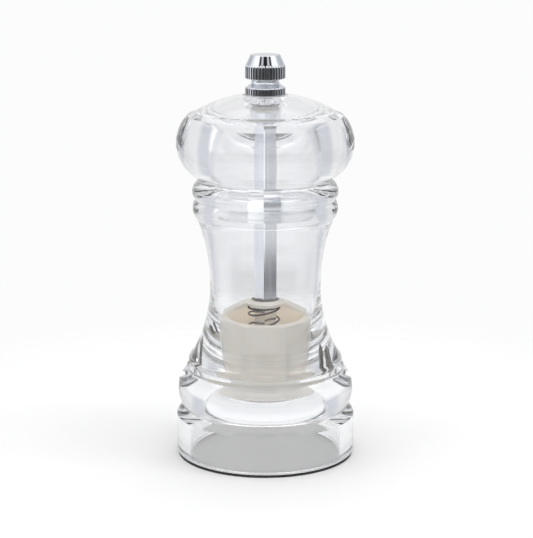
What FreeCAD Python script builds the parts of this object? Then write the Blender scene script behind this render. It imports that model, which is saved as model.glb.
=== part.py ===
"""Pepper mill with a clear turned body and head, a square spindle and an adjustable burr set.

Millimetres, +Z up. The origin is the centre of the underside, on the mill's axis of rotation.
"""
import FreeCAD, Part
import math
import os

# ---- driving dimensions -------------------------------------------------------------------

total_height = 140.0

foot_height = 0.8              # dark ring that the mill stands on
foot_outer_radius = 30.6
foot_width = 1.7

base_radius = 31.1             # plain cylinder at the bottom of the body
base_edge_radius = 1.0
base_top = 14.4
base_groove = (28.75, 17.4)    # groove between base cylinder and lower roll

roll_height = 24.0             # widest level of the lower roll
roll_radius = 30.5
roll_top = (27.45, 30.4)

ledge_height = 31.7            # small square land above the lower roll
step_groove = (26.15, 32.4)
step_radius = 26.8
step_height = 34.2

waist_radius = 19.16
waist_height = 60.5
waist_lower_arc = 51.0
waist_upper_arc = 66.0
flare_bottom = 37.9
flare_top = 81.3

bead_seam = (24.1, 90.5)       # groove between the two beads at the neck
lower_bead_radius = 25.0
lower_bead_height = 87.7
upper_bead_radius = 25.07
upper_bead_height = 93.9
body_top = 96.9

recess_radius = 26.5           # open underside of the base
recess_top = 18.0
recess_fillet = 3.0
flange_bore_radius = 21.6
mechanism_ledge = 30.6         # face that the flange is screwed up against
chamber_radius = 17.3
chamber_taper_start = 56.0
chamber_top_radius = 17.9
chamber_top = 80.0
spigot_bore_radius = 18.6
spigot_bore_bottom = 82.0

head_gap = 0.2                 # running gap between head and body
head_lip = (24.4, 98.8)
head_lip_inset = 1.7
head_radius = 30.5
head_widest = 110.0
head_shoulder = (26.6, 119.5)
dome_foot = (23.2, 121.2)
dome_arc = 49.0
dome_crown = 127.0
head_bore_radius = 4.3
head_cavity_radius = 18.8
head_ceiling = 7.0             # thickness of the dome over the hollow
ceiling_corner = (15.8, 18.1)  # the ceiling rounds into the wall between these radii
ceiling_drop = 3.0
boss_radius = 6.5              # tube round the spindle that hangs from the ceiling
boss_bottom = 116.0

ferrule_rim_radius = 8.0
ferrule_tip_radius = 5.6
ferrule_depth = 2.9
ferrule_seat = (7.6, 0.45)     # sunk face under the knob: its radius and depth

insert_top = 99.0              # clear plug bonded into the head
insert_shoulder = 97.3
insert_bottom = 86.0
insert_chamfer = 0.6
spigot_clearance = 0.3

shaft_side = 5.64
shaft_edge = 0.2
shaft_turn = -5.0              # degrees; the head and shaft stop at any angle
shaft_bottom = 24.0
shaft_square_top = 124.3
stud_radius = 2.45
stud_top = 136.2
stud_pitch = 0.8
drive_clearance = 0.12         # per side of a square hole

knob_bottom = 126.1
knob_ring_height = 2.7
knob_neck_height = 3.3
knob_band_height = 4.0
knob_radius = 6.83
knob_waist_radius = 4.95
knob_crown_radius = 5.15
knob_flutes = 38
flute_radius = 0.36
knob_bore_radius = 2.5
knob_bore_top = 138.4

cup_apothem = 15.4             # octagonal outside of the mechanism housing
cup_bore_radius = 13.7
cup_rim = 48.6
cup_rim_rounding = 0.45
hub_top = 54.8                 # the hub is a flat cone with an upright edge
hub_top_radius = 5.3
hub_shoulder = 53.8
hub_radius = 7.0
hub_bottom = 53.0
hub_bore_radius = 4.85
arm_width = 6.0
arm_thickness = 1.5
arm_foot = (15.1, 49.3)        # upper line of a bridge arm, from the cup's wall
arm_head = (6.9, 53.9)         # to the hub
arm_inner_radius = 6.2
flange_radius = 21.3
flange_bottom = 26.0
stator_radius = 13.2
stator_top = 36.0
funnel_top = 38.5
funnel_bottom_radius = 12.0
retainer_bottom = 24.0
retainer_bore_radius = 11.4

screw_circle_radius = 19.1
screw_turn = -14.0             # degrees from the X axis
screw_radius = 1.2
screw_thread_depth = 0.3
screw_pitch = 0.95
screw_top = 39.0
screw_head_radius = 2.3
screw_head_height = 2.0

stator_mouth_radius = 11.3
stator_throat_radius = 10.4
stator_teeth = 36
rotor_top = 36.0
rotor_bottom = 25.4
rotor_top_radius = 7.0
rotor_bottom_radius = 9.7
rotor_teeth = 14
carrier_radius = 5.6
carrier_flange_radius = 7.6
carrier_top = 36.6
seat_thickness = 1.0
seat_radius = 6.8
washer_gap = 0.15
thrust_washer_thickness = 0.6
thrust_washer_radius = 6.0
spring_radius = 5.4
spring_wire = 0.72
spring_closed_halves = 2       # half turns that lie shut at each end
spring_open_halves = 5
spring_shift = -0.5            # the spring is loose round the spindle and sits to one side
spring_end_gap = 0.02
rotor_washer_thickness = 0.8
rotor_washer_radius = 6.4
rotor_screw_head_radius = 3.4
rotor_screw_head_height = 2.0
rotor_screw_radius = 1.5
rotor_screw_top = 32.0


# ---- helpers ------------------------------------------------------------------------------

def vector(r, z):
    return FreeCAD.Vector(r, 0, z)


def turned(start, *steps):
    """Solid turned about Z from a closed outline of (r, z) points.

    A step is the end of a straight line, or a pair (point on the arc, end of the arc).
    """
    edges = []
    here = start
    for step in steps + (start,):
        if isinstance(step[0], tuple):
            through, end = step
            edges.append(Part.Arc(vector(*here), vector(*through), vector(*end)).toShape())
        else:
            end = step
            if math.dist(here, end) > 1e-6:
                edges.append(Part.LineSegment(vector(*here), vector(*end)).toShape())
        here = end
    solid = Part.Face(Part.Wire(edges)).revolve(FreeCAD.Vector(), FreeCAD.Vector(0, 0, 1), 360)
    if solid.Volume < 0:
        solid.reverse()
    return solid


def tube(outer, inner, bottom, top):
    return turned((inner, bottom), (outer, bottom), (outer, top), (inner, top))


def cylinder(radius, bottom, top, x=0.0, y=0.0):
    return Part.makeCylinder(radius, top - bottom, FreeCAD.Vector(x, y, bottom))


def quarter(centre, radius, degrees):
    """Middle of a rounded corner: the point of a circle at an angle in the (r, z) plane."""
    angle = math.radians(degrees)
    return (centre[0] + radius * math.cos(angle), centre[1] + radius * math.sin(angle))


def waist_at(z, arc):
    """Radius of the hollow waist at a height, on the arc that touches the narrowest level."""
    return waist_radius + arc - math.sqrt(arc ** 2 - (z - waist_height) ** 2)


def dome_at(r):
    return dome_crown - dome_arc + math.sqrt(dome_arc ** 2 - r ** 2)


def ceiling_at(r):
    return dome_crown - dome_arc + math.sqrt((dome_arc - head_ceiling) ** 2 - r ** 2)


def square_bar(side, bottom, top, edge=0.0):
    """Square bar on the axis with its faces turned to the shaft's angle."""
    bar = Part.makeBox(side, side, top - bottom, FreeCAD.Vector(-side / 2, -side / 2, bottom))
    if edge:
        upright = [e for e in bar.Edges if abs(e.Vertexes[0].Z - e.Vertexes[1].Z) > 1]
        bar = bar.makeChamfer(edge, upright)
    bar.rotate(FreeCAD.Vector(), FreeCAD.Vector(0, 0, 1), 45 + shaft_turn)
    return bar


def square_hole(bottom, top):
    return square_bar(shaft_side + 2 * drive_clearance, bottom - 1, top + 1)


def around(shape, count, first=0.0):
    """Copies of a shape turned about the axis at equal steps."""
    copies = []
    for i in range(count):
        copy = shape.copy()
        copy.rotate(FreeCAD.Vector(), FreeCAD.Vector(0, 0, 1), first + 360.0 * i / count)
        copies.append(copy)
    return copies


def ridged(core, crest, bottom, top, pitch):
    """Outline steps up a threaded stem: one ridge for each pitch, as (r, z) points."""
    steps = []
    z = bottom
    while z + pitch <= top:
        steps += [(core, z), (crest, z + 0.5 * pitch)]
        z += pitch
    return steps + [(core, z)]


# ---- clear shells -------------------------------------------------------------------------

def body_shell():
    edge = (base_radius - base_edge_radius, foot_height + base_edge_radius)
    step_low = (step_groove[0], step_groove[1] + 0.5)
    flare_low = (waist_at(flare_bottom, waist_lower_arc), flare_bottom)
    flare_high = (waist_at(flare_top, waist_upper_arc), flare_top)
    low_mid = (waist_height + flare_bottom) / 2
    high_mid = (waist_height + flare_top) / 2
    fillet = (recess_radius - recess_fillet, recess_top - recess_fillet)
    shell = turned(
        (recess_radius, foot_height),
        (edge[0], foot_height),
        (quarter(edge, base_edge_radius, -45), (base_radius, edge[1])),
        (base_radius, base_top),
        ((base_radius - 0.8, base_top + 1.45), base_groove),
        ((29.9, 20.0), (roll_radius, roll_height)),
        ((29.7, 27.7), roll_top),
        (roll_top[0], ledge_height),
        step_groove,
        step_low,
        ((step_radius, step_height), (step_radius - 0.55, step_height + 1.2)),
        flare_low,
        ((waist_at(low_mid, waist_lower_arc), low_mid), (waist_radius, waist_height)),
        ((waist_at(high_mid, waist_upper_arc), high_mid), flare_high),
        (23.6, 83.8),
        ((lower_bead_radius, lower_bead_height), bead_seam),
        ((upper_bead_radius, upper_bead_height), (23.0, body_top)),
        (spigot_bore_radius, body_top),
        (spigot_bore_radius, spigot_bore_bottom),
        (chamber_top_radius, chamber_top),
        (chamber_radius, chamber_taper_start),
        (chamber_radius, mechanism_ledge),
        (flange_bore_radius, mechanism_ledge),
        (flange_bore_radius, recess_top),
        (fillet[0], recess_top),
        (quarter(fillet, recess_fillet, 45), (recess_radius, fillet[1])),
    )
    return shell.cut(screw_holes(mechanism_ledge - 1, screw_top + 0.5))


def head_shell():
    bottom = body_top + head_gap
    lip_foot = (head_lip[0] - head_lip_inset, bottom)
    dome_mid = (dome_foot[0] + ferrule_rim_radius) / 2
    seat = dome_at(ferrule_rim_radius)
    corner_start = ceiling_corner[0]
    ceiling_mid = (boss_radius + corner_start) / 2
    return turned(
        (head_cavity_radius, bottom),
        lip_foot,
        head_lip,
        ((head_radius, head_widest), head_shoulder),
        (dome_foot[0] + 0.3, dome_foot[1] - 0.7),
        dome_foot,
        ((dome_mid, dome_at(dome_mid)), (ferrule_rim_radius, seat)),
        (ferrule_tip_radius, seat - ferrule_depth),
        (head_bore_radius, seat - ferrule_depth),
        (head_bore_radius, boss_bottom),
        (boss_radius, boss_bottom),
        (boss_radius, ceiling_at(boss_radius)),
        ((ceiling_mid, ceiling_at(ceiling_mid)), (corner_start, ceiling_at(corner_start))),
        ((ceiling_corner[1], ceiling_at(corner_start) - 0.3 * ceiling_drop),
         (head_cavity_radius, ceiling_at(corner_start) - ceiling_drop)),
    )


def drive_insert():
    """Solid plug: its wide part fills the head's hollow and its spigot centres in the body."""
    spigot_radius = spigot_bore_radius - spigot_clearance
    plug = turned(
        (0, insert_bottom),
        (spigot_radius - insert_chamfer, insert_bottom),
        (spigot_radius, insert_bottom + insert_chamfer),
        (spigot_radius, insert_shoulder),
        (head_cavity_radius, insert_shoulder),
        (head_cavity_radius, insert_top),
        (0, insert_top),
    )
    return plug.cut(square_hole(insert_bottom, insert_top))


# ---- knob, ferrule, shaft -----------------------------------------------------------------

def top_knob():
    ring_top = knob_bottom + knob_ring_height
    band_bottom = ring_top + knob_neck_height
    band_top = band_bottom + knob_band_height
    blank = turned(
        (0, knob_bore_top),
        (knob_bore_radius, knob_bore_top),
        (knob_bore_radius, knob_bottom),
        (knob_radius - 0.2, knob_bottom),
        (knob_radius, knob_bottom + 0.2),
        (knob_radius, ring_top),
        (knob_waist_radius, ring_top + 1.4),
        ((knob_waist_radius - 0.2, ring_top + 2.0), (knob_waist_radius, ring_top + 2.6)),
        (knob_radius, band_bottom),
        (knob_radius, band_top),
        (knob_crown_radius, total_height - 0.25),
        (quarter((knob_crown_radius - 0.3, total_height - 0.3), 0.3, 60),
         (knob_crown_radius - 0.35, total_height)),
        (0, total_height),
    )
    reach = knob_radius + 0.08
    ring_flute = cylinder(flute_radius, knob_bottom - 1, ring_top + 0.7, x=reach)
    band_flute = cylinder(flute_radius, band_bottom - 0.7, band_top + 1.2, x=reach)
    first = 90 + 180.0 / knob_flutes
    flutes = around(ring_flute, knob_flutes, first) + around(band_flute, knob_flutes, first)
    return blank.cut(flutes)


def knob_ferrule():
    top = dome_at(ferrule_rim_radius)
    tip = top - ferrule_depth
    return turned(
        (head_bore_radius, tip),
        (ferrule_tip_radius, tip),
        (ferrule_rim_radius, top),
        (ferrule_seat[0], top),
        (ferrule_seat[0] - 0.3, top - ferrule_seat[1]),
        (head_bore_radius, top - ferrule_seat[1]),
    )


def drive_shaft():
    bar = square_bar(shaft_side, shaft_bottom, shaft_square_top, shaft_edge)
    root = stud_radius - 0.35
    thread_start = shaft_square_top + 1.6
    stud = turned(
        (0, shaft_square_top - 1),
        (root, shaft_square_top - 1),
        *ridged(root, stud_radius, thread_start, stud_top - 0.5, stud_pitch),
        (root - 0.5, stud_top),
        (0, stud_top),
    )
    tapped = cylinder(rotor_screw_radius, shaft_bottom - 1, rotor_screw_top + 0.5)
    return bar.fuse(stud).removeSplitter().cut(tapped)


# ---- grinding mechanism -------------------------------------------------------------------

def screw_positions():
    angle = math.radians(screw_turn)
    x = screw_circle_radius * math.cos(angle)
    y = screw_circle_radius * math.sin(angle)
    return [(x, y), (-x, -y)]


def screw_holes(bottom, top):
    return [cylinder(screw_radius, bottom, top, x, y) for x, y in screw_positions()]


def octagon(apothem, bottom, top):
    radius = apothem / math.cos(math.pi / 8)
    corners = []
    for i in range(9):
        angle = math.pi / 8 + i * math.pi / 4
        corners.append(FreeCAD.Vector(radius * math.cos(angle), radius * math.sin(angle), bottom))
    return Part.Face(Part.makePolygon(corners)).extrude(FreeCAD.Vector(0, 0, top - bottom))


def bridge_arm():
    """One sloping arm from the cup's rim to the hub, along +X."""
    outline = [
        (arm_foot[0], arm_foot[1] - arm_thickness),
        arm_foot,
        arm_head,
        (arm_inner_radius, arm_head[1]),
        (arm_inner_radius, hub_bottom),
        (arm_head[0], arm_head[1] - arm_thickness),
    ]
    points = [FreeCAD.Vector(x, -arm_width / 2, z) for x, z in outline]
    arm = Part.Face(Part.makePolygon(points + points[:1]))
    return arm.extrude(FreeCAD.Vector(0, arm_width, 0))


def mechanism_housing():
    cup = octagon(cup_apothem, flange_bottom + 1, cup_rim)
    rim = [e for e in cup.Edges if min(v.Z for v in e.Vertexes) > cup_rim - 0.01]
    cup = cup.makeFillet(cup_rim_rounding, rim)
    flange = cylinder(flange_radius, flange_bottom, mechanism_ledge)
    funnel = turned(
        (0, flange_bottom - 1),
        (stator_radius, flange_bottom - 1),
        (stator_radius, stator_top),
        (funnel_bottom_radius, stator_top),
        (funnel_bottom_radius, stator_top + 0.8),
        (cup_bore_radius, funnel_top),
        (cup_bore_radius, cup_rim + 1),
        (0, cup_rim + 1),
    )
    hub = turned(
        (0, hub_bottom),
        (hub_radius, hub_bottom),
        (hub_radius, hub_shoulder),
        (hub_top_radius, hub_top),
        (0, hub_top),
    )
    solid = cup.fuse(flange).cut(funnel)
    solid = solid.fuse([hub] + around(bridge_arm(), 2))
    bore = cylinder(hub_bore_radius, hub_bottom - 1, hub_top + 1)
    holes = screw_holes(flange_bottom - 1, mechanism_ledge + 1)
    return solid.cut([bore] + holes).removeSplitter()


def stator_burr():
    """Ring whose tapered mouth is cut with slots that lean round the axis."""
    ring = turned(
        (stator_throat_radius, flange_bottom),
        (stator_radius, flange_bottom),
        (stator_radius, stator_top),
        (stator_mouth_radius, stator_top),
    )
    height = stator_top - flange_bottom
    slot = Part.makeCone(0.35, 0.55, height + 2, FreeCAD.Vector(stator_throat_radius, 0, flange_bottom - 1))
    slot.rotate(FreeCAD.Vector(stator_throat_radius, 0, flange_bottom), FreeCAD.Vector(1, 0, 0), 8)
    slot.rotate(FreeCAD.Vector(stator_throat_radius, 0, flange_bottom), FreeCAD.Vector(0, 1, 0), 5)
    return ring.cut(around(slot, stator_teeth))


def stator_retainer():
    plate = tube(flange_radius, retainer_bore_radius, retainer_bottom, flange_bottom)
    return plate.cut(screw_holes(retainer_bottom - 1, flange_bottom + 1))


def flange_screws():
    core = screw_radius - screw_thread_depth
    seat = retainer_bottom
    head_bottom = seat - screw_head_height
    screw = turned(
        (0, head_bottom),
        (screw_head_radius - 0.5, head_bottom),
        (quarter((screw_head_radius - 0.9, seat - 1.1), 0.9, -45), (screw_head_radius, seat - 1.1)),
        (screw_head_radius, seat),
        (core, seat),
        *ridged(core, screw_radius, seat + 0.6, screw_top - 1.4, screw_pitch),
        (0, screw_top),
    )
    slot = Part.makeBox(2 * screw_head_radius, 0.7, 0.9,
                        FreeCAD.Vector(-screw_head_radius, -0.35, head_bottom - 0.1))
    cross = slot.copy()
    cross.rotate(FreeCAD.Vector(), FreeCAD.Vector(0, 0, 1), 90)
    driven = cylinder(1.4, head_bottom - 1, head_bottom + 1).common(slot.fuse(cross))
    screw = screw.cut(driven)
    placed = []
    for x, y in screw_positions():
        copy = screw.copy()
        copy.translate(FreeCAD.Vector(x, y, 0))
        placed.append(copy)
    return Part.makeCompound(placed)


def rotor_carrier():
    core = turned(
        (0, shaft_bottom),
        (carrier_flange_radius, shaft_bottom),
        (carrier_flange_radius, rotor_bottom),
        (carrier_radius, rotor_bottom),
        (carrier_radius, carrier_top),
        (0, carrier_top),
    )
    return core.cut(square_hole(shaft_bottom, carrier_top))


def rotor_burr():
    """Cone whose outside is cut with slots that lean round the axis."""
    cone = turned(
        (carrier_radius, rotor_bottom),
        (rotor_bottom_radius - 0.3, rotor_bottom),
        (rotor_bottom_radius, rotor_bottom + 0.4),
        (rotor_top_radius, rotor_top),
        (carrier_radius, rotor_top),
    )
    height = rotor_top - rotor_bottom
    foot = FreeCAD.Vector(rotor_bottom_radius + 0.15, 0, rotor_bottom)
    slot = Part.makeCylinder(0.7, height * 1.4, foot - FreeCAD.Vector(0, 0, 1.5))
    slot.rotate(foot, FreeCAD.Vector(1, 0, 0), 22)
    slot.rotate(foot, FreeCAD.Vector(0, 1, 0), -13)
    return cone.cut(around(slot, rotor_teeth, 180.0 / rotor_teeth))


def keyed_washer(radius, bottom, top):
    disc = cylinder(radius, bottom, top)
    return disc.cut(square_hole(bottom, top))


def half_coil(side, bottom, top):
    """Half a turn of the spring's wire, from side * spring_radius on X to the opposite side.

    It bends in one tilted plane and leaves both ends along Y, so halves meet face to face.
    """
    start = FreeCAD.Vector(side * spring_radius, 0, bottom)
    end = FreeCAD.Vector(-side * spring_radius, 0, top)
    centre = (start + end) / 2
    axis = (start - centre).cross(FreeCAD.Vector(0, side, 0))
    wire = Part.Wire(Part.makeCircle(spring_wire / 2, start, FreeCAD.Vector(0, 1, 0)))
    return Part.Face(wire).revolve(centre, axis, 180)


def adjuster_spring():
    """One wire: a closed coil, the open coils, and another closed coil."""
    low = carrier_top + seat_thickness + spring_wire / 2
    high = hub_bottom - washer_gap - thrust_washer_thickness - spring_wire / 2
    shut_rise = (spring_wire + spring_end_gap) / 2
    open_rise = (high - low - 2 * spring_closed_halves * shut_rise) / spring_open_halves
    rises = [shut_rise] * spring_closed_halves
    halves = []
    z = low
    side = -1
    for rise in rises + [open_rise] * spring_open_halves + rises:
        halves.append(half_coil(side, z, z + rise))
        z += rise
        side = -side
    spring = halves[0].multiFuse(halves[1:])
    spring.translate(FreeCAD.Vector(spring_shift, 0, 0))
    return spring


def rotor_screw():
    seat = shaft_bottom - rotor_washer_thickness
    bottom = seat - rotor_screw_head_height
    core = rotor_screw_radius - 0.3
    screw = turned(
        (0, bottom),
        (rotor_screw_head_radius - 0.6, bottom),
        (quarter((rotor_screw_head_radius - 0.8, seat - 1.2), 0.8, -45),
         (rotor_screw_head_radius, seat - 1.2)),
        (rotor_screw_head_radius, seat),
        (core, seat),
        *ridged(core, rotor_screw_radius, seat + 1.0, rotor_screw_top - 0.6, 0.5 * 1.25),
        (0, rotor_screw_top),
    )
    slot = Part.makeBox(2 * rotor_screw_head_radius + 1, 0.9, 0.9,
                        FreeCAD.Vector(-rotor_screw_head_radius - 0.5, -0.45, bottom - 0.1))
    return screw.cut(slot)


# ---- write the parts ----------------------------------------------------------------------

seat_top = carrier_top + seat_thickness
washer_top = hub_bottom - washer_gap
rotor_washer_bottom = shaft_bottom - rotor_washer_thickness

parts = {
    "foot_ring": tube(foot_outer_radius, foot_outer_radius - foot_width, 0, foot_height),
    "body_shell": body_shell(),
    "head_shell": head_shell(),
    "drive_insert": drive_insert(),
    "top_knob": top_knob(),
    "knob_ferrule": knob_ferrule(),
    "drive_shaft": drive_shaft(),
    "mechanism_housing": mechanism_housing(),
    "stator_burr": stator_burr(),
    "stator_retainer": stator_retainer(),
    "flange_screws": flange_screws(),
    "rotor_carrier": rotor_carrier(),
    "rotor_burr": rotor_burr(),
    "spring_seat": keyed_washer(seat_radius, carrier_top, seat_top),
    "adjuster_spring": adjuster_spring(),
    "thrust_washer": keyed_washer(thrust_washer_radius, washer_top - thrust_washer_thickness, washer_top),
    "rotor_washer": tube(rotor_washer_radius, rotor_screw_radius, rotor_washer_bottom, shaft_bottom),
    "rotor_screw": rotor_screw(),
}

os.makedirs("parts", exist_ok=True)
for name, shape in parts.items():
    shape.exportStep("parts/" + name + ".step")
    box = shape.optimalBoundingBox(False)
    print(name, "solids", len(shape.Solids), "valid", shape.isValid(), "volume", round(shape.Volume, 1),
          "z", round(box.ZMin, 2), round(box.ZMax, 2), "x", round(box.XMax, 2))
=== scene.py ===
"""Clear acrylic pepper mill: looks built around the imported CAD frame. Metres, +Z up."""
import math

import bpy
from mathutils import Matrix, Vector

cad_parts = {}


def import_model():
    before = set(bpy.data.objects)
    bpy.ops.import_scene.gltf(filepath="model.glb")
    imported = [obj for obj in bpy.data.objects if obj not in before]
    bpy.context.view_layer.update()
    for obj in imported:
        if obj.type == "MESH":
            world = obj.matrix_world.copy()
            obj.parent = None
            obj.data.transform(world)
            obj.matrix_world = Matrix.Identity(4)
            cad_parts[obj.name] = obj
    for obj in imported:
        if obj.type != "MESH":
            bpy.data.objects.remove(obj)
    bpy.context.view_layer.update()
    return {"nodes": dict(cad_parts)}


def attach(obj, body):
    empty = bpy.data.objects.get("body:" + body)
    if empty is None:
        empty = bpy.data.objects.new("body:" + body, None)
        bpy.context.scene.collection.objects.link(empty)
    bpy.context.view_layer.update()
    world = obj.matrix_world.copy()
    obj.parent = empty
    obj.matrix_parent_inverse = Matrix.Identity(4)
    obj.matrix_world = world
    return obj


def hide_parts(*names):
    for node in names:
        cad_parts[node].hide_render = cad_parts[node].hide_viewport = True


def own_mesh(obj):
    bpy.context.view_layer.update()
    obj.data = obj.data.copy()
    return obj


MM = 0.001
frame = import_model()


# ---- meshes -------------------------------------------------------------------------------

ARC_STEP = math.radians(5)
SOFT_EDGE = 0.18          # mm, rounding that polishing leaves on a turned edge
SOFT_STEPS = 4            # straight pieces in each rounded corner
SHARP_TURN = math.radians(20)
ON_AXIS = 1e-6            # mm, a smaller radius counts as being on the axis
TURNS = 192               # steps round the axis


def arc_points(start, through, end):
    """Points after start along the arc through three (r, z) points."""
    ax, ay = start
    bx, by = through
    cx, cy = end
    d = 2 * (ax * (by - cy) + bx * (cy - ay) + cx * (ay - by))
    a2, b2, c2 = ax * ax + ay * ay, bx * bx + by * by, cx * cx + cy * cy
    ux = (a2 * (by - cy) + b2 * (cy - ay) + c2 * (ay - by)) / d
    uy = (a2 * (cx - bx) + b2 * (ax - cx) + c2 * (bx - ax)) / d
    radius = math.hypot(ax - ux, ay - uy)
    first = math.atan2(ay - uy, ax - ux)
    middle = (math.atan2(by - uy, bx - ux) - first) % math.tau
    sweep = (math.atan2(cy - uy, cx - ux) - first) % math.tau
    if middle > sweep:
        sweep -= math.tau
    count = max(4, math.ceil(abs(sweep) / ARC_STEP))
    return [(ux + radius * math.cos(first + sweep * i / count),
             uy + radius * math.sin(first + sweep * i / count)) for i in range(1, count + 1)]


def outline(start, *steps):
    """Closed polygon from straight steps (r, z) and arc steps ((r, z) on the arc, (r, z) at its end)."""
    points = [start]
    for step in steps:
        if isinstance(step[0], tuple):
            points += arc_points(points[-1], *step)
        else:
            points.append(step)
    return points


def softened(points, size):
    """The polygon with each sharp corner off the axis cut to a small round."""
    soft = []
    count = len(points)
    for i, here in enumerate(points):
        before = Vector(points[i - 1]) - Vector(here)
        after = Vector(points[(i + 1) % count]) - Vector(here)
        turn = math.pi - before.angle(after)
        if turn < SHARP_TURN or here[0] < ON_AXIS:
            soft.append(here)
            continue
        cut = min(size * math.tan(turn / 2), before.length / 3, after.length / 3)
        a = Vector(here) + before.normalized() * cut
        b = Vector(here) + after.normalized() * cut
        for k in range(SOFT_STEPS + 1):
            t = k / SOFT_STEPS
            soft.append(tuple(a * (1 - t) ** 2 + Vector(here) * 2 * t * (1 - t) + b * t * t))
    return soft


def mesh_object(name, points, faces, body, slot, material, *replaced):
    """Smooth-shaded piece from points in mm, which takes the place of the CAD nodes in replaced."""
    mesh = bpy.data.meshes.new(name)
    mesh.from_pydata([tuple(c * MM for c in p) for p in points], [], faces)
    mesh.validate()
    mesh.materials.append(material)
    mesh.polygons.foreach_set("use_smooth", [True] * len(mesh.polygons))
    piece = bpy.data.objects.new(name, mesh)
    bpy.context.scene.collection.objects.link(piece)
    if replaced:
        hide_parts(*replaced)
    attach(piece, body)
    return piece


def weighted_normals(mesh):
    """Vertex normals that follow the larger faces, so flats stay flat beside small rounds."""
    normals = [Vector() for _ in mesh.vertices]
    for polygon in mesh.polygons:
        for v in polygon.vertices:
            normals[v] += polygon.normal * polygon.area
    mesh.normals_split_custom_set_from_vertices([n.normalized() for n in normals])


def lathe(name, profile, body, slot, material, *replaced, turns=TURNS, radius_at=None):
    """Closed solid turned about Z, where radius_at(angle, r, z) may change its radius."""
    points, faces, rows = [], [], []
    for r, z in profile:
        if r < ON_AXIS:
            rows.append([len(points)])
            points.append((0, 0, z))
            continue
        rows.append(range(len(points), len(points) + turns))
        for k in range(turns):
            angle = math.tau * k / turns
            rr = radius_at(angle, r, z) if radius_at else r
            points.append((rr * math.cos(angle), rr * math.sin(angle), z))
    for i, row in enumerate(rows):
        below = rows[i - 1]
        if len(row) == 1 and len(below) == 1:
            continue
        for k in range(turns):
            n = (k + 1) % turns
            if len(row) == 1:
                faces.append((below[k], below[n], row[0]))
            elif len(below) == 1:
                faces.append((below[0], row[n], row[k]))
            else:
                faces.append((below[k], below[n], row[n], row[k]))
    piece = mesh_object(name, points, faces, body, slot, material, *replaced)
    weighted_normals(piece.data)
    return piece


# ---- materials ----------------------------------------------------------------------------

def new_material(name):
    made = bpy.data.materials.new(name)
    made.use_nodes = True
    return made, made.node_tree.nodes, made.node_tree.links, made.node_tree.nodes["Principled BSDF"]


def add(nodes, kind, **values):
    node = nodes.new(kind)
    for key, value in values.items():
        if key in node.inputs:
            node.inputs[key].default_value = value
        else:
            setattr(node, key, value)
    return node


NOISE_LOW, NOISE_HIGH = 0.3, 0.7          # the part of the noise's range that is used


def object_noise(nodes, links, scale, stretch, detail=3.0):
    """Noise in object space, drawn out by stretch along each axis."""
    place = nodes.new("ShaderNodeTexCoord").outputs["Object"]
    mapping = add(nodes, "ShaderNodeMapping", Scale=stretch)
    links.new(place, mapping.inputs["Vector"])
    noise = add(nodes, "ShaderNodeTexNoise", Scale=scale, Detail=detail)
    links.new(mapping.outputs[0], noise.inputs["Vector"])
    return noise.outputs[0]


def between(nodes, links, factor, low, high):
    """Value that follows the factor from low to high."""
    node = add(nodes, "ShaderNodeMapRange")
    node.inputs["From Min"].default_value = NOISE_LOW
    node.inputs["From Max"].default_value = NOISE_HIGH
    node.inputs["To Min"].default_value = low
    node.inputs["To Max"].default_value = high
    links.new(factor, node.inputs["Value"])
    return node.outputs[0]


def blended(nodes, links, factor, low, high):
    """Colour that follows the factor from low to high."""
    node = nodes.new("ShaderNodeMix")
    node.data_type = "RGBA"
    links.new(between(nodes, links, factor, 0.0, 1.0), node.inputs["Factor"])
    node.inputs["A"].default_value = (*low, 1)
    node.inputs["B"].default_value = (*high, 1)
    return node.outputs["Result"]


def textured(name, colours, roughness, metallic, scale, stretch=(1, 1, 1), relief=0.05, depth=MM):
    """Principled surface whose colour, gloss and relief vary with a fine noise."""
    made, nodes, links, shader = new_material(name)
    noise = object_noise(nodes, links, scale, stretch)
    links.new(blended(nodes, links, noise, *colours), shader.inputs["Base Color"])
    links.new(between(nodes, links, noise, *roughness), shader.inputs["Roughness"])
    bump = add(nodes, "ShaderNodeBump", Strength=relief, Distance=depth)
    links.new(noise, bump.inputs["Height"])
    links.new(bump.outputs[0], shader.inputs["Normal"])
    shader.inputs["Metallic"].default_value = metallic
    return made


def acrylic():
    made, _, _, shader = new_material("clear_acrylic_look")
    shader.inputs["Base Color"].default_value = (0.965, 0.972, 0.985, 1)
    shader.inputs["Roughness"].default_value = 0.0
    shader.inputs["IOR"].default_value = 1.49
    shader.inputs["Transmission Weight"].default_value = 1.0
    return made


def cream_plastic():
    made = textured("cream_plastic_look", ((0.95, 0.885, 0.80), (0.965, 0.91, 0.835)),
                    (0.34, 0.46), 0.0, 260.0, relief=0.08, depth=0.1 * MM)
    shader = made.node_tree.nodes["Principled BSDF"]
    shader.inputs["Subsurface Weight"].default_value = 0.35
    shader.inputs["Subsurface Radius"].default_value = (1.0, 0.9, 0.8)
    shader.inputs["Subsurface Scale"].default_value = 2.0 * MM
    return made


# ---- outlines of the clear pieces, in mm ---------------------------------------------------

WAIST_RADIUS, WAIST_HEIGHT = 19.16, 60.5
WAIST_LOWER_ARC, WAIST_UPPER_ARC = 51.0, 66.0
DOME_CROWN, DOME_ARC = 127.0, 49.0
DOME_WALL, VAULT_RADIUS = 7.0, 15.8       # acrylic above the head's hollow, and the width of its vault


def waist(z, arc):
    return (WAIST_RADIUS + arc - math.sqrt(arc ** 2 - (z - WAIST_HEIGHT) ** 2), z)


def dome(r):
    return (r, DOME_CROWN - DOME_ARC + math.sqrt(DOME_ARC ** 2 - r ** 2))


def ceiling(r, drop=0.0):
    """Point drop under the vault, which stays level outside VAULT_RADIUS."""
    rise = math.sqrt((DOME_ARC - DOME_WALL) ** 2 - min(r, VAULT_RADIUS) ** 2)
    return (r, DOME_CROWN - DOME_ARC + rise - drop)


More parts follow.
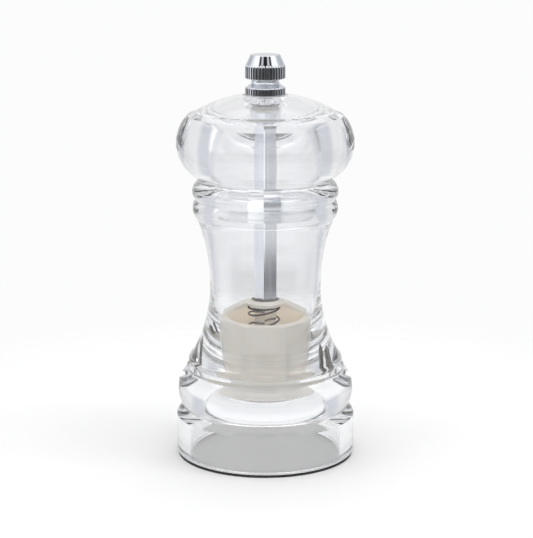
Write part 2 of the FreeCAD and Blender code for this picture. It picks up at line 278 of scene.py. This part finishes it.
AIR = 0.03                # drawn air gap where an opaque piece touches a clear one, for the looks only
BODY_OUTLINE = outline(
    (26.5, 0.8 + AIR), (30.1, 0.8 + AIR), ((30.81, 1.09), (31.1, 1.8)),
    (31.1, 14.4), ((30.3, 15.85), (28.75, 17.4)),
    ((29.9, 20.0), (30.5, 24.0)), ((29.7, 27.7), (27.45, 30.4)), (27.45, 31.7),
    (26.15, 32.4), (26.15, 32.9), ((26.8, 34.2), (26.25, 35.4)),
    waist(37.9, WAIST_LOWER_ARC),
    (waist(49.2, WAIST_LOWER_ARC), waist(60.5, WAIST_LOWER_ARC)),
    (waist(70.9, WAIST_UPPER_ARC), waist(81.3, WAIST_UPPER_ARC)),
    (23.6, 83.8), ((25.0, 87.7), (24.1, 90.5)), ((25.07, 93.9), (23.0, 96.9)),
    (18.6, 96.9), (18.6, 82.0), (17.9, 80.0), (17.3, 56.0), (17.3, 30.6 + AIR),
    (21.6, 30.6 + AIR), (21.6, 18.0), (23.5, 18.0), ((25.62, 17.12), (26.5, 15.0)),
)
FERRULE_TIP = dome(8.0)[1] - 2.9
HEAD_OUTLINE = outline(
    (18.8, 97.1), (22.7, 97.1), (24.4, 98.8), ((30.5, 110.0), (26.6, 119.5)),
    (23.5, 120.5), (23.2, 121.2), (dome(15.6), dome(8.0 + AIR)),
    (5.6 + AIR, FERRULE_TIP - AIR), (4.3, FERRULE_TIP - AIR), (4.3, 116.0), (6.5, 116.0), ceiling(6.5),
    (ceiling(11.15), ceiling(VAULT_RADIUS)), (ceiling(18.1, 0.9), ceiling(18.8, 3.0)),
)
BORE = 4.2                # drawn radius of the square hole's walls in the insert
INSERT_OUTLINE = outline(
    (BORE, 86.0), (17.7, 86.0), (18.3, 86.6), (18.3, 97.3), (18.79, 97.3), (18.79, 99.0), (BORE, 99.0),
)
KNOB_RADIUS, KNOB_WAIST, KNOB_CROWN = 6.83, 4.95, 5.15
KNOB_EDGE, KNOB_ROW = 0.08, 0.3           # rounding of its edges, and the longest step up its side
KNOB_OUTLINE = outline(
    (0.0, 138.4), (2.5, 138.4), (2.5, 126.1), (KNOB_RADIUS - 0.2, 126.1), (KNOB_RADIUS, 126.3),
    (KNOB_RADIUS, 128.8), (KNOB_WAIST, 130.2), ((KNOB_WAIST - 0.2, 130.8), (KNOB_WAIST, 131.4)),
    (KNOB_RADIUS, 132.1), (KNOB_RADIUS, 136.1), (KNOB_CROWN, 139.75),
    ((KNOB_CROWN - 0.15, 139.96), (KNOB_CROWN - 0.35, 140.0)), (0.0, 140.0),
)


# ---- shapes with a pattern round the axis --------------------------------------------------

FLUTES, FLUTE_RADIUS, FLUTE_REACH = 38, 0.36, KNOB_RADIUS + 0.08
FLUTED_RADIUS = 5.5       # flutes are cut only where the knob is wider than this
PLAIN_LOW, PLAIN_HIGH = 129.5, 131.4      # plain neck between the ring and the band
FLUTES_TOP = 137.3        # above this the cone is plain
FLUTE_STEPS = 16          # steps round the axis in each flute
SHAFT_ANGLE = math.radians(40)
HOLE_HALF = 2.94          # half the width of the square hole


def fluted(angle, r, z):
    """Knob radius with the upright flutes of the ring and the band cut in."""
    if r < FLUTED_RADIUS or PLAIN_LOW < z < PLAIN_HIGH or z > FLUTES_TOP:
        return r
    pitch = math.tau / FLUTES
    off = (angle - math.pi / 2) % pitch - pitch / 2
    side = FLUTE_REACH * math.sin(off)
    if abs(side) >= FLUTE_RADIUS:
        return r
    return min(r, FLUTE_REACH * math.cos(off) - math.sqrt(FLUTE_RADIUS ** 2 - side ** 2))


def square_bore(angle, r, z):
    """Insert radius with its bore drawn out to the square hole, the same at every height."""
    if r > BORE + 0.5:
        return r
    turned = angle - SHAFT_ANGLE
    return r - BORE + HOLE_HALF / max(abs(math.cos(turned)), abs(math.sin(turned)))


def divided(points, step):
    """The closed polygon with its long sides cut into shorter ones."""
    fine = []
    for i, here in enumerate(points):
        start = points[i - 1]
        count = max(1, math.ceil(math.dist(start, here) / step))
        for k in range(1, count + 1):
            t = k / count
            fine.append((start[0] + (here[0] - start[0]) * t, start[1] + (here[1] - start[1]) * t))
    return fine


SPRING_RADIUS, SPRING_WIRE, SPRING_SHIFT = 5.4, 0.72, -0.5
SPRING_LOW, SPRING_HIGH = 37.965, 51.885
SHUT_RISE, SHUT_HALVES, OPEN_HALVES = 0.37, 2, 5
SPRING_STEPS = 32         # points in each half coil


def spring_path():
    """Centre line of the wire: shut coils at both ends and open coils between them."""
    open_rise = (SPRING_HIGH - SPRING_LOW - 2 * SHUT_HALVES * SHUT_RISE) / OPEN_HALVES
    rises = [SHUT_RISE] * SHUT_HALVES + [open_rise] * OPEN_HALVES + [SHUT_RISE] * SHUT_HALVES
    points = []
    z = SPRING_LOW
    for half, rise in enumerate(rises):
        for k in range(SPRING_STEPS + (half == len(rises) - 1)):
            angle = math.pi * (1 + half + k / SPRING_STEPS)
            lift = (1 - math.cos(math.pi * k / SPRING_STEPS)) / 2
            points.append(Vector((SPRING_SHIFT + SPRING_RADIUS * math.cos(angle),
                                  SPRING_RADIUS * math.sin(angle), z + rise * lift)))
        z += rise
    return points


def wire(name, path, radius, body, slot, material, *replaced, sides=16):
    """Round wire along a path of points, closed at both ends."""
    points, faces = [], []
    for i, here in enumerate(path):
        along = (path[min(i + 1, len(path) - 1)] - path[max(i - 1, 0)]).normalized()
        across = along.cross(Vector((0, 0, 1))).normalized()
        up = across.cross(along)
        for k in range(sides):
            angle = math.tau * k / sides
            points.append(here + (across * math.cos(angle) + up * math.sin(angle)) * radius)
    for i in range(len(path) - 1):
        for k in range(sides):
            n = (k + 1) % sides
            a, b = i * sides, (i + 1) * sides
            faces.append((a + k, b + k, b + n, a + n))
    faces.append(tuple(range(sides)))
    faces.append(tuple(reversed(range(len(points) - sides, len(points)))))
    return mesh_object(name, points, faces, body, slot, material, *replaced)


# ---- build --------------------------------------------------------------------------------

clear = acrylic()
lathe("body_clear", softened(BODY_OUTLINE, SOFT_EDGE), "base", "clear_acrylic", clear, "body_shell")
lathe("head_clear", softened(HEAD_OUTLINE, SOFT_EDGE), "head", "clear_acrylic", clear, "head_shell")
lathe("insert_clear", softened(INSERT_OUTLINE, SOFT_EDGE), "head", "clear_acrylic", clear,
      "drive_insert", turns=360, radius_at=square_bore)

looks = {
    "chrome": textured("chrome_look", ((0.68, 0.70, 0.74), (0.72, 0.74, 0.78)),
                       (0.04, 0.07), 1.0, 400.0, relief=0.01, depth=0.05 * MM),
    "bright_steel": textured("bright_steel_look", ((0.66, 0.66, 0.64), (0.76, 0.76, 0.74)),
                             (0.2, 0.32), 1.0, 500.0, (1, 1, 6), relief=0.05, depth=0.05 * MM),
    "aluminium": textured("aluminium_look", ((0.70, 0.715, 0.75), (0.78, 0.79, 0.82)),
                          (0.16, 0.24), 1.0, 900.0, (1, 1, 0.04), relief=0.06, depth=0.05 * MM),
    "cream_plastic": cream_plastic(),
    "ceramic": textured("ceramic_look", ((0.80, 0.79, 0.75), (0.86, 0.85, 0.81)),
                        (0.25, 0.4), 0.0, 700.0),
    "spring_steel": textured("spring_steel_look", ((0.004, 0.004, 0.005), (0.010, 0.010, 0.011)),
                             (0.3, 0.45), 0.0, 900.0),
    # near-black, so the thin ring under the base draws a dark line along the base's bottom edge
    "dark_rubber": textured("near_black_look", ((0.010, 0.010, 0.011), (0.018, 0.018, 0.019)),
                            (0.6, 0.8), 0.0, 900.0, relief=0.2),
}
lathe("knob_chrome", divided(softened(KNOB_OUTLINE, KNOB_EDGE), KNOB_ROW), "knob", "chrome",
      looks["chrome"], "top_knob", turns=FLUTES * FLUTE_STEPS, radius_at=fluted)
spring = wire("spring_wire", spring_path(), SPRING_WIRE / 2, "drive", "spring_steel", looks["spring_steel"],
              "adjuster_spring")
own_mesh(spring)
# nodes that look unlike the rest of their slot
own_looks = {
    "knob_ferrule": textured("ferrule_look", ((0.86, 0.84, 0.80), (0.93, 0.92, 0.89)),
                             (0.35, 0.5), 0.6, 900.0, (1, 1, 0.05), relief=0.2, depth=0.1 * MM),
    "flange_screws": textured("screw_look", ((0.20, 0.19, 0.18), (0.34, 0.33, 0.31)),
                              (0.25, 0.4), 1.0, 700.0),
}
for name, node in frame["nodes"].items():
    for slot in node.material_slots:
        if slot.material.name in looks:
            slot.material = own_looks.get(name, looks[slot.material.name])


# ---- stage, light and camera --------------------------------------------------------------

# brightness round the object: 0 and 1 are behind it, 0.5 is the camera side, 0.25 the left
SOFT_SIDE = (0.62, 0.64, 0.68)
LOW_RING = ((0.0, 0.84), (0.07, 0.83), (0.12, SOFT_SIDE), (0.17, SOFT_SIDE), (0.21, 1.15),
            (0.26, 1.15), (0.31, 0.1), (0.45, 0.03), (0.60, 0.03), (0.66, 0.15), (0.70, 0.33),
            (0.78, 0.33), (0.82, SOFT_SIDE), (0.88, SOFT_SIDE), (0.93, 0.83), (1.0, 0.84))
BELT_RING = ((0.0, 0.83), (0.07, 0.82), (0.12, SOFT_SIDE), (0.17, SOFT_SIDE), (0.24, 1.15),
             (0.36, 1.5), (0.45, 1.7), (0.55, 1.7), (0.64, 1.5), (0.69, 0.8), (0.77, 0.8),
             (0.83, SOFT_SIDE), (0.88, SOFT_SIDE), (0.93, 0.82), (1.0, 0.83))
MID_RING = ((0.0, 0.88), (0.15, 0.88), (0.19, 0.45), (0.235, 0.6), (0.26, 1.4), (0.36, 1.4),
            (0.385, 0.06), (0.405, 0.06), (0.43, 0.8), (0.45, 0.8), (0.468, 0.02), (0.532, 0.02),
            (0.55, 0.8), (0.57, 0.8), (0.595, 0.06), (0.615, 0.06), (0.64, 1.4), (0.74, 1.4),
            (0.765, 0.6), (0.81, 0.45), (0.85, 0.88), (1.0, 0.88))
DEEP = (0.88, 0.88, 0.88)                # steeply under the horizon
TOP = (1.6, 1.6, 1.6)
ZENITH = (0.1, 0.1, 0.1)                 # unlit middle of the ceiling
# where each layer of the sky gives way to the next; 0.5 is the horizon and 1 is overhead
LOW_FROM = ((0.0, 0.0), (0.33, 0.0), (0.36, 1.0), (1.0, 1.0))
BELT_FROM = ((0.0, 0.0), (0.465, 0.0), (0.49, 1.0), (1.0, 1.0))
MID_FROM = ((0.0, 0.0), (0.645, 0.0), (0.67, 1.0), (1.0, 1.0))
TOP_FROM = ((0.0, 0.0), (0.745, 0.0), (0.79, 1.0), (1.0, 1.0))
ZENITH_FROM = ((0.0, 0.0), (0.92, 0.0), (0.95, 1.0), (1.0, 1.0))
BACKDROP = (0.965, 0.975, 0.968)         # what the camera itself sees behind the object
FLOOR_HALF = 0.5                         # metres, as are the two below
FLOOR_CLEAR, FLOOR_GONE = 0.08, 0.20     # the floor fades out between these distances


def floor():
    mesh = bpy.data.meshes.new("floor")
    corners = [(-1, -1), (1, -1), (1, 1), (-1, 1)]
    mesh.from_pydata([(x * FLOOR_HALF, y * FLOOR_HALF, 0) for x, y in corners], [], [(0, 1, 2, 3)])
    made, nodes, links, shader = new_material("floor_look")
    shader.inputs["Base Color"].default_value = (0.885, 0.89, 0.885, 1)
    shader.inputs["Roughness"].default_value = 0.9
    place = nodes.new("ShaderNodeTexCoord").outputs["Object"]
    length = add(nodes, "ShaderNodeVectorMath", operation="LENGTH")
    links.new(place, length.inputs[0])
    fade = add(nodes, "ShaderNodeMapRange", interpolation_type="SMOOTHSTEP")
    fade.inputs["From Min"].default_value = FLOOR_CLEAR
    fade.inputs["From Max"].default_value = FLOOR_GONE
    fade.inputs["To Min"].default_value = 1.0
    fade.inputs["To Max"].default_value = 0.0
    links.new(length.outputs["Value"], fade.inputs["Value"])
    links.new(fade.outputs[0], shader.inputs["Alpha"])
    mesh.materials.append(made)
    plane = bpy.data.objects.new("floor", mesh)
    bpy.context.scene.collection.objects.link(plane)


def sky_maths(nodes, links, operation, a, b=None):
    """One Math node, where a and b are each a number or an output."""
    node = nodes.new("ShaderNodeMath")
    node.operation = operation
    for socket, value in zip(node.inputs, (a, b)):
        if value is None:
            continue
        if isinstance(value, (int, float)):
            socket.default_value = value
        else:
            links.new(value, socket)
    return node.outputs[0]


def ramp(nodes, links, value, stops):
    """Colour ramp from (position, brightness or colour) stops."""
    node = nodes.new("ShaderNodeValToRGB")
    node.color_ramp.interpolation = "EASE"
    elements = node.color_ramp.elements
    while len(elements) < len(stops):
        elements.new(0.5)
    for element, (position, colour) in zip(elements, stops):
        element.position = position
        element.color = (*colour, 1) if isinstance(colour, tuple) else (colour, colour, colour, 1)
    links.new(value, node.inputs[0])
    return node.outputs[0]


def layered(nodes, links, factor, low, high):
    """Mix from low to high, where each is a colour or an output."""
    node = nodes.new("ShaderNodeMix")
    node.data_type = "RGBA"
    links.new(factor, node.inputs["Factor"])
    for socket, value in ((node.inputs["A"], low), (node.inputs["B"], high)):
        if isinstance(value, tuple):
            socket.default_value = value
        else:
            links.new(value, socket)
    return node.outputs["Result"]


def world():
    sky = bpy.data.worlds.new("studio")
    bpy.context.scene.world = sky
    sky.use_nodes = True
    nodes, links = sky.node_tree.nodes, sky.node_tree.links
    background = nodes["Background"]
    direction = nodes.new("ShaderNodeTexCoord").outputs["Generated"]
    split = nodes.new("ShaderNodeSeparateXYZ")
    links.new(direction, split.inputs[0])
    x, y, z = split.outputs
    front = sky_maths(nodes, links, "MULTIPLY", y, -1.0)
    azimuth = sky_maths(nodes, links, "ARCTAN2", x, front)
    turned = sky_maths(nodes, links, "DIVIDE", azimuth, math.tau)
    round_sky = sky_maths(nodes, links, "ADD", turned, 0.5)
    height = sky_maths(nodes, links, "DIVIDE", sky_maths(nodes, links, "ARCSINE", z), math.pi)
    height = sky_maths(nodes, links, "ADD", height, 0.5)
    low = ramp(nodes, links, round_sky, LOW_RING)
    belt = ramp(nodes, links, round_sky, BELT_RING)
    middle = ramp(nodes, links, round_sky, MID_RING)
    whole = layered(nodes, links, ramp(nodes, links, height, LOW_FROM), (*DEEP, 1), low)
    whole = layered(nodes, links, ramp(nodes, links, height, BELT_FROM), whole, belt)
    whole = layered(nodes, links, ramp(nodes, links, height, MID_FROM), whole, middle)
    whole = layered(nodes, links, ramp(nodes, links, height, TOP_FROM), whole, (*TOP, 1))
    whole = layered(nodes, links, ramp(nodes, links, height, ZENITH_FROM), whole, (*ZENITH, 1))
    path = nodes.new("ShaderNodeLightPath")
    seen = layered(nodes, links, path.outputs["Is Camera Ray"], whole, (*BACKDROP, 1))
    links.new(seen, background.inputs["Color"])
    background.inputs["Strength"].default_value = 1.0


def camera():
    data = bpy.data.cameras.new("camera")
    data.lens = 125.7
    data.clip_end = 20
    made = bpy.data.objects.new("camera", data)
    bpy.context.scene.collection.objects.link(made)
    made.location = (0.0004, -0.635, 0.211)
    target = Vector((0.0004, 0, 0.0656))
    made.rotation_euler = (target - made.location).to_track_quat("-Z", "Y").to_euler()
    bpy.context.scene.camera = made


def lamp(name, place, aim, size, energy, colour):
    """Disc lamp that lights surfaces but shows in no reflection and through no clear part."""
    data = bpy.data.lights.new(name, "AREA")
    data.shape = "DISK"
    data.size = size
    data.energy = energy
    data.color = colour
    made = bpy.data.objects.new(name, data)
    bpy.context.scene.collection.objects.link(made)
    made.location = place
    made.rotation_euler = (Vector(aim) - Vector(place)).to_track_quat("-Z", "Y").to_euler()
    made.visible_camera = False
    made.visible_glossy = False
    made.visible_transmission = False


floor()
world()
lamp("cup_fill", (0, 0, 0.0505), (0, 0, 0), 0.022, 0.0013, (1.0, 0.86, 0.70))
lamp("chamber_fill", (0, 0, 0.079), (0, 0, 0), 0.022, 0.004, (1.0, 0.96, 0.90))
lamp("key", (0.35, -0.10, 0.60), (0, 0, 0.03), 0.12, 0.32, (1.0, 1.0, 1.0))
camera()
scene = bpy.context.scene
scene.view_settings.view_transform = "Standard"
scene.cycles.max_bounces = 32
scene.cycles.transmission_bounces = 32
scene.cycles.glossy_bounces = 12
scene.cycles.transparent_max_bounces = 16
